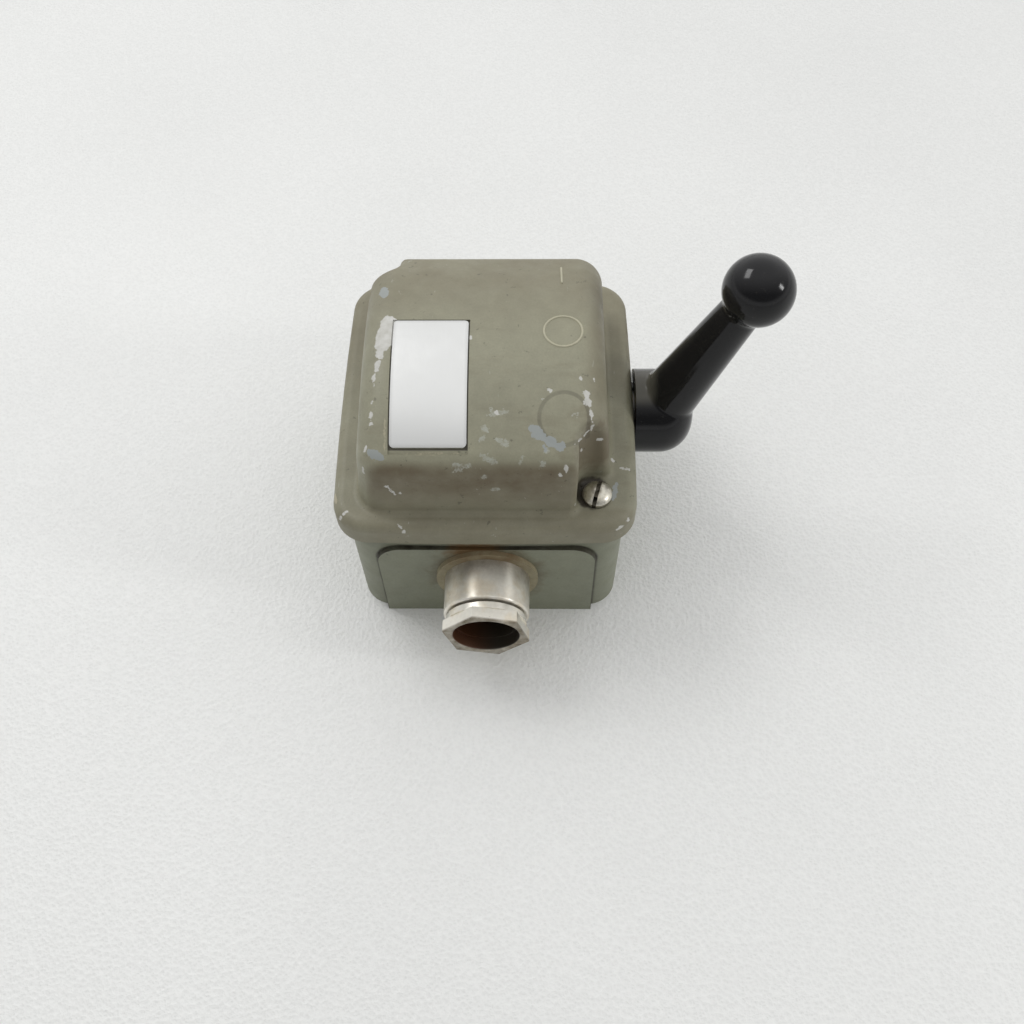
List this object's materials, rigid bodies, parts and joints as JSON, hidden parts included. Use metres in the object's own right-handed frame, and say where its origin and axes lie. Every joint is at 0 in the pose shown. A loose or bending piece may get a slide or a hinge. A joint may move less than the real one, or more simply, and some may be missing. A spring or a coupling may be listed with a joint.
{
  "type": "enclosed cam switch",
  "caption": "Wall-mounted cam switch in a two-part cast case with a crowned cover, a side lever with a ball grip and a front cable gland; turning the lever closes the contacts.",
  "frame": {"origin": "centre of the base's mounting face, on the wall", "axes": "+Z out of the wall towards the cover, +X towards the lever, -Y towards the cable gland; lever upright (off) at rest"},
  "size_m": [0.1347, 0.1181, 0.1146],
  "materials": {
    "base_paint": "grey-green enamel on a casting, worn",
    "cover_paint": "grey-green enamel on a casting, satin, worn",
    "plate_metal": "plain satin sheet",
    "gasket_rubber": "matt",
    "screw_steel": "zinc plated, dulled",
    "fibre": "pressed fibre, tan",
    "gland_metal": "nickel plated, worn warm at the edges",
    "seal_rubber": "matt",
    "lever_plastic": "glossy black moulding",
    "shaft_steel": "turned",
    "spring_steel": "blued",
    "bush_brass": "turned",
    "felt": "pressed felt",
    "sheet_steel": "zinc plated sheet",
    "barrier_board": "insulating board",
    "terminal_brass": "plain",
    "deck_plastic": "brown moulding",
    "cam_plastic": "pale moulding",
    "contact_copper": "bare copper alloy"
  },
  "bodies": {
    "housing": {"base_housing": "base_paint", "cover": "cover_paint", "nameplate": "plate_metal", "cover_gasket": "gasket_rubber", "cover_screws": "screw_steel", "gland_washer": "fibre", "gland_body": "gland_metal", "gland_seal": "seal_rubber", "gland_thrust_ring": "gland_metal", "gland_nut": "gland_metal", "gland_locknut": "gland_metal", "axle_bush": "bush_brass", "axle_felt": "felt", "frame_plate_left": "sheet_steel", "frame_plate_right": "sheet_steel", "deck_barrier": "barrier_board", "tie_rods": "shaft_steel", "tie_rod_nuts": "screw_steel", "frame_screws": "screw_steel", "terminal_screws": "terminal_brass", "detent_leaf": "spring_steel", "detent_screw": "screw_steel", "stop_pins": "shaft_steel", "earth_screw": "terminal_brass", "contact_deck_1": "deck_plastic", "contact_spring_1": "spring_steel", "fixed_contact_1_front": "contact_copper", "fixed_contact_1_rear": "contact_copper", "contact_deck_2": "deck_plastic", "contact_spring_2": "spring_steel", "fixed_contact_2_front": "contact_copper", "fixed_contact_2_rear": "contact_copper", "contact_deck_3": "deck_plastic", "contact_spring_3": "spring_steel", "fixed_contact_3_front": "contact_copper", "fixed_contact_3_rear": "contact_copper"},
    "rotor": {"lever": "lever_plastic", "lever_set_screw": "screw_steel", "axle": "shaft_steel", "axle_clip": "spring_steel", "detent_wheel": "shaft_steel", "cam_1": "cam_plastic", "cam_2": "cam_plastic", "cam_3": "cam_plastic"},
    "contact_1": {"plunger_1": "cam_plastic", "contact_bridge_1": "contact_copper"},
    "contact_2": {"plunger_2": "cam_plastic", "contact_bridge_2": "contact_copper"},
    "contact_3": {"plunger_3": "cam_plastic", "contact_bridge_3": "contact_copper"}
  },
  "joints": [
    {"name": "lever_turn", "type": "hinge", "parent": "housing", "child": "rotor", "pos_m": [0, 0.00125, 0.0476], "axis": [-1, 0, 0], "range_deg": [0, 45], "deforming": ["detent_leaf"]},
    {"name": "contact_1_lift", "type": "slide", "parent": "housing", "child": "contact_1", "axis": [0, 0, 1], "range_m": [0, 0.003], "deforming": ["contact_spring_1"]},
    {"name": "contact_2_lift", "type": "slide", "parent": "housing", "child": "contact_2", "axis": [0, 0, 1], "range_m": [0, 0.003], "deforming": ["contact_spring_2"]},
    {"name": "contact_3_lift", "type": "slide", "parent": "housing", "child": "contact_3", "axis": [0, 0, 1], "range_m": [0, 0.003], "deforming": ["contact_spring_3"]}
  ],
  "couplings": [
    {"joint": "contact_1_lift", "follows": "lever_turn", "m_per_rad": 0.0038196},
    {"joint": "contact_2_lift", "follows": "lever_turn", "m_per_rad": 0.0038196},
    {"joint": "contact_3_lift", "follows": "lever_turn", "m_per_rad": 0.0038196}
  ]
}
